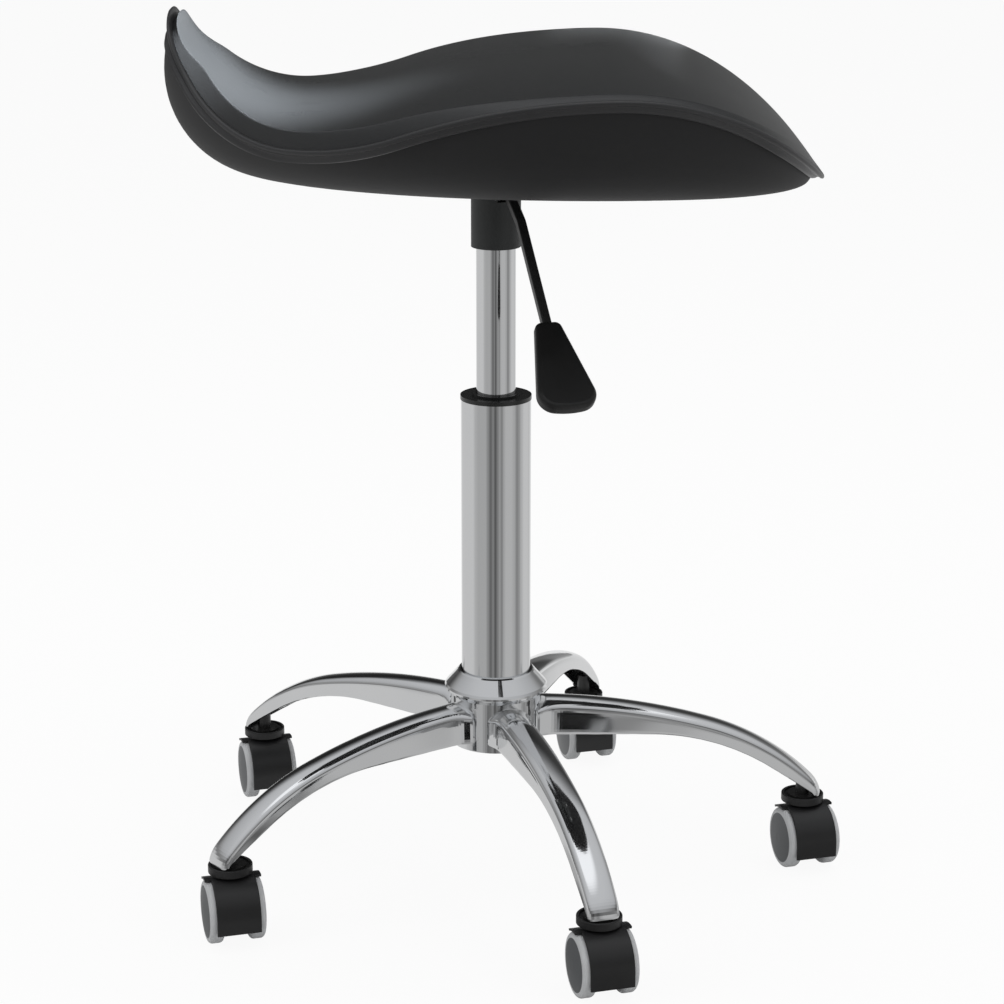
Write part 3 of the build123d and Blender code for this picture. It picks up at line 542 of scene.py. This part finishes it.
def lip_place(reach, angle, ring):
    if ring == 0:
        inset = skirt_inset - rear_flare * rearward(angle) ** 4 * (1 - rearward(angle) ** 24)
        return on_wave(seat_middle.lerp(inset_point(angle, inset, lip_outline), reach), -skirt_depth)
    if ring == 1:
        return on_wave(inset_point(angle, skirt_inset, lip_outline), -2 * bead_radius)
    if ring > lip_rings:
        return on_wave(seat_middle.lerp(inset_point(angle, bead_radius, lip_outline), reach), 0.0)
    around = math.pi * ((ring - 1) / lip_rings - 0.5)
    inset = bead_radius * (1 - math.cos(around))
    return on_wave(inset_point(angle, inset, lip_outline), bead_radius * (math.sin(around) - 1))


lip = waved_sheet("seat_lip", columns=64, rows=60, rings=lip_rings, place=lip_place)
dress(lip, "edge_wrap")
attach(lip, "seat")
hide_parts("seat_pan")


# Base: a turned hub and five hollow arms that droop to the casters, drawn from their sections
arm_count = 5
first_arm_turn = math.radians(17.6 - 90)
arm_root = Vector((0.030, 0.1295))
long_bend, long_turn = 0.4659, math.radians(15.7)
short_bend, short_turn = 0.178, math.radians(45.0)
nose_bend, nose_turn = 0.022, math.radians(82.9)
nose_bottom = 0.0538
belly = Vector((0.1148, 0.1026))
under_bend, under_turn = 0.160, math.radians(32.5)
arm_wall = 0.0030
deepest_side, depth_step = 0.045, 0.0002
root_half_width, half_width_loss = 0.0125, 0.0012
root_crown_radius, crown_radius_gain = 0.017, 0.017
root_edge_radius, edge_radius_loss = 0.0075, 0.0035
least_side = 0.0004
flare, flare_run, hub_side = 0.0045, 0.0050, 0.033
crown_end, edge_end = 0.5, 0.75


def arm_top(share):
    """Point of the arm's top line and its slope there: a long bend, a short bend and the nose."""
    bends = (
        (long_bend, 0.0, long_turn), (short_bend, long_turn, short_turn), (nose_bend, short_turn, nose_turn),
    )
    left = share * sum(bend * (last - first) for bend, first, last in bends)
    spot = arm_root.copy()
    for bend, first, last in bends:
        slope = first + min(left / bend, last - first)
        spot += bend * Vector((math.sin(slope) - math.sin(first), math.cos(slope) - math.cos(first)))
        left -= bend * (last - first)
        if left <= 0:
            break
    return spot, slope


def arm_under(reach):
    """Height of the arm's lower edge: level from the hub, then an arch down to the caster."""
    if reach <= belly.x:
        return belly.y
    haunch = belly + under_bend * Vector((math.sin(under_turn), math.cos(under_turn) - 1))
    if reach <= haunch.x:
        return belly.y - under_bend + math.sqrt(under_bend ** 2 - (reach - belly.x) ** 2)
    return max(nose_bottom, haunch.y - (reach - haunch.x) * math.tan(under_turn))


def arm_depth(spot, slope):
    """Length of the arm's side below its top line, square to the top."""
    inward, downward = math.sin(slope), math.cos(slope)
    depth = 0.0
    while depth < deepest_side and spot.y - depth * downward > arm_under(spot.x - depth * inward):
        depth += depth_step
    return depth


def arm_half_section(share, widening, depth, way):
    """Point part of the way round half a section: a crowned top, a rounded edge and a straight side."""
    half = root_half_width - half_width_loss * share + widening
    crown_radius = root_crown_radius + crown_radius_gain * share + widening
    edge_radius = root_edge_radius - edge_radius_loss * share
    lean = math.asin((half - edge_radius) / (crown_radius - edge_radius))
    if way <= crown_end:
        turn = lean * way / crown_end
        return crown_radius * math.sin(turn), crown_radius * (math.cos(turn) - 1)
    edge_drop = (crown_radius - edge_radius) * math.cos(lean) - crown_radius
    turn = lean + (math.pi / 2 - lean) * min((way - crown_end) / (edge_end - crown_end), 1.0)
    side = half - edge_radius + edge_radius * math.sin(turn)
    drop = edge_drop + edge_radius * math.cos(turn)
    if way > edge_end:
        drop += (min(-depth, drop - least_side) - drop) * (way - edge_end) / (1 - edge_end)
    return side, drop


def arm_point(share, across):
    spot, slope = arm_top(share)
    widening = flare * math.exp(-max(0.0, spot.x - hub_side) / flare_run)
    side, drop = arm_half_section(share, widening, arm_depth(spot, slope), abs(across))
    reach = spot.x + drop * math.sin(slope)
    return reach, math.copysign(side, across), max(spot.y + drop * math.cos(slope), nose_bottom)


def base_arm():
    """One hollow arm that reaches along x."""
    start_clean()
    bpy.ops.mesh.primitive_grid_add(x_subdivisions=54, y_subdivisions=32, size=2.0)
    arm = bpy.context.object
    for vertex in arm.data.vertices:
        vertex.co = arm_point((vertex.co.x + 1) / 2, vertex.co.y)
    wall = arm.modifiers.new("wall", "SOLIDIFY")
    wall.thickness = arm_wall
    wall.offset = -1.0
    bpy.ops.object.modifier_apply(modifier="wall")
    rounding = arm.modifiers.new("rounding", "SUBSURF")
    rounding.levels = rounding.render_levels = 1
    bpy.ops.object.modifier_apply(modifier="rounding")
    return arm


def turned_copies(piece, count, first_turn):
    """A piece and its copies, each with its own mesh, turned evenly about the stand."""
    copies = [piece]
    for _ in range(count - 1):
        start_clean()
        piece.select_set(True)
        bpy.context.view_layer.objects.active = piece
        bpy.ops.object.duplicate(linked=False)
        copies.append(bpy.context.object)
    for index, copy in enumerate(copies):
        start_clean()
        copy.select_set(True)
        bpy.context.view_layer.objects.active = copy
        copy.rotation_euler.z = first_turn + index * 2 * math.pi / count
        bpy.ops.object.transform_apply(location=False, rotation=True, scale=False)
    return copies


hub_profile = (
    (0.0245, 0.0955), (0.0250, 0.0955), (0.0320, 0.0955), (0.0328, 0.0958), (0.0330, 0.0966),
    (0.0330, 0.1000), (0.0330, 0.1290), (0.0332, 0.1330), (0.0342, 0.1340), (0.0364, 0.1360),
    (0.0374, 0.1374), (0.0374, 0.1388), (0.0364, 0.1404), (0.0300, 0.1476), (0.0280, 0.1499),
    (0.0270, 0.1508), (0.0258, 0.1510), (0.0254, 0.1505), (0.0253, 0.1480), (0.0245, 0.0975),
    (0.0245, 0.0955),
)


def turned_ring(profile, steps):
    """A ring turned from a closed profile of (radius, height)."""
    start_clean()
    bpy.ops.mesh.primitive_grid_add(x_subdivisions=steps, y_subdivisions=len(profile) - 1, size=2.0)
    ring = bpy.context.object
    for vertex in ring.data.vertices:
        radius, z = profile[round((vertex.co.y + 1) / 2 * (len(profile) - 1))]
        turn = math.pi * vertex.co.x
        vertex.co = (radius * math.cos(turn), radius * math.sin(turn), z)
    bpy.ops.object.mode_set(mode="EDIT")
    bpy.ops.mesh.select_all(action="SELECT")
    bpy.ops.mesh.remove_doubles(threshold=0.00001)
    bpy.ops.mesh.normals_make_consistent(inside=False)
    bpy.ops.object.mode_set(mode="OBJECT")
    return ring


base_pieces = [turned_ring(hub_profile, steps=128)] + turned_copies(base_arm(), arm_count, first_arm_turn)
start_clean()
for piece in base_pieces:
    piece.select_set(True)
bpy.context.view_layer.objects.active = base_pieces[0]
bpy.ops.object.join()
casting = bpy.context.object
casting.name = "base_casting"
dress(casting, "plated_casting")
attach(casting, "base")
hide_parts("star_base")


# Floor and room
white = (1.0, 1.0, 1.0, 1.0)
floor_grey = (0.86, 0.86, 0.86, 1.0)
ceiling_grey = (0.80, 0.81, 0.83, 1.0)
floor_whiteness = 0.93
room_light = 0.42
overhead_gain = 0.8
room_heights = ((0.0, 1.0), (0.10, 0.95), (0.24, 0.35), (0.50, 0.55), (0.9, 0.7))


def studio_floor(recipe):
    """Pale paint that the camera sees as near white and the plating sees as the studio's grey tones."""
    spot = recipe.place()
    way = recipe.node("ShaderNodeVectorMath", {"operation": "NORMALIZE"}, {"Vector": spot}, "Vector")
    reach = recipe.node("ShaderNodeVectorMath", {"operation": "LENGTH"}, {"Vector": spot}, "Value")
    far = recipe.ramp(reach * 0.1, ((0.35, 0.0), (0.80, 1.0)))
    tones = recipe.mix(far * recipe.behind(way), recipe.walls(spot), recipe.far_end(way))
    painted = recipe.node("ShaderNodeBsdfDiffuse", {}, {"Color": floor_grey})
    mirrored = recipe.node("ShaderNodeEmission", {}, {"Color": tones, "Strength": 1.0})
    shining = recipe.node("ShaderNodeEmission", {}, {"Color": white, "Strength": 1.0})
    lit = recipe.mix_shader(recipe.ray("Is Glossy Ray"), painted, mirrored)
    return recipe.mix_shader(recipe.seen() * floor_whiteness, lit, shining)


def studio_room(recipe):
    """Even soft light, a white backdrop for the camera and grey screens for the plating."""
    way = recipe.node("ShaderNodeTexCoord", output="Generated")
    up = recipe.axis(way, "Z")
    ceiling = recipe.ramp(up, ((0.0, 0.0), (0.30, 0.0), (0.60, 1.0)))
    screens = recipe.mix(ceiling, recipe.walls(way), ceiling_grey)
    toned = recipe.mix(1.0, screens, recipe.ramp(up, room_heights), "MULTIPLY")
    tones = recipe.mix(recipe.behind(way), toned, recipe.far_end(way))
    overhead = recipe.ramp(up, ((0.90, 0.0), (0.96, 1.0)))
    soft_light = recipe.node("ShaderNodeBackground", {}, {"Color": white, "Strength": room_light})
    strength = overhead * overhead_gain + 1.0
    mirrored = recipe.node("ShaderNodeBackground", {}, {"Color": tones, "Strength": strength})
    backdrop = recipe.node("ShaderNodeBackground", {}, {"Color": white, "Strength": 1.0})
    lit = recipe.mix_shader(recipe.ray("Is Glossy Ray"), soft_light, mirrored)
    return recipe.mix_shader(recipe.seen(), lit, backdrop)


start_clean()
bpy.ops.mesh.primitive_plane_add(size=80.0)
floor = bpy.context.object
floor.name = "studio_floor"
floor_paint = bpy.data.materials.new("studio_floor")
floor_paint.use_nodes = True
floor_recipe = Recipe(floor_paint.node_tree)
floor_recipe.node("ShaderNodeOutputMaterial", {}, {"Surface": studio_floor(floor_recipe)})
floor.data.materials.append(floor_paint)

room = bpy.data.worlds.new("studio_room")
room.use_nodes = True
scene.world = room
room_recipe = Recipe(room.node_tree)
room_recipe.node("ShaderNodeOutputWorld", {}, {"Surface": studio_room(room_recipe)})


# Lamps
stool_middle = (0.0, 0.0, 0.35)
rear_slope = (-0.200, -0.045, 0.600)
snoot_place = (0.43, -0.10, 1.37)
softbox_place = (0.165, 1.50, 0.42)


def aim(lamp, place, target):
    lamp.rotation_euler = (Vector(target) - Vector(place)).to_track_quat("-Z", "Y").to_euler()


def flag_off(lamp, lit_pieces):
    """Keeps a lamp's light off everything but some pieces."""
    reach = bpy.data.collections.new(lamp.name + "_reach")
    for piece in lit_pieces:
        reach.objects.link(piece)
    lamp.light_linking.receiver_collection = reach


for name, place, width, watts in (
    ("overhead_lamp", (0.3, 0.2, 2.6), 2.2, 28.0),
    ("left_lamp", (-2.2, -1.0, 1.7), 1.4, 15.0),
    ("right_lamp", (2.0, -1.6, 1.5), 1.2, 9.0),
):
    bpy.ops.object.light_add(type="AREA", location=place)
    lamp = bpy.context.object
    lamp.name = name
    lamp.data.size = width
    lamp.data.energy = watts
    lamp.visible_glossy = False
    aim(lamp, place, stool_middle)

# Softbox behind the seat, for its sheen
bpy.ops.object.light_add(type="AREA", location=softbox_place, rotation=(math.radians(-90.0), 0.0, 0.0))
softbox = bpy.context.object
softbox.name = "back_softbox"
softbox.data.shape = "RECTANGLE"
softbox.data.size = 0.21
softbox.data.size_y = 0.34
softbox.data.energy = 0.7
softbox.data.color = (0.93, 0.97, 1.0)
softbox.visible_camera = False
flag_off(softbox, (cushion, lip))

# Snooted lamp on the raised rear of the seat
bpy.ops.object.light_add(type="SPOT", location=snoot_place)
snoot = bpy.context.object
snoot.name = "rear_snoot"
aim(snoot, snoot_place, rear_slope)
snoot.data.spot_size = math.radians(15.0)
snoot.data.spot_blend = 0.75
snoot.data.shadow_soft_size = 0.05
snoot.data.energy = 620.0
snoot.visible_glossy = False
snoot.data.color = (0.92, 0.96, 1.0)
flag_off(snoot, (cushion,))


# Camera
bpy.ops.object.camera_add(location=(0.0, -1.8611, 0.8099), rotation=(math.radians(74.0), 0.0, 0.0))
camera = bpy.context.object
camera.data.sensor_width = 36.0
camera.data.lens = 96.65
camera.data.shift_x = 0.006
camera.data.clip_end = 200.0
scene.camera = camera
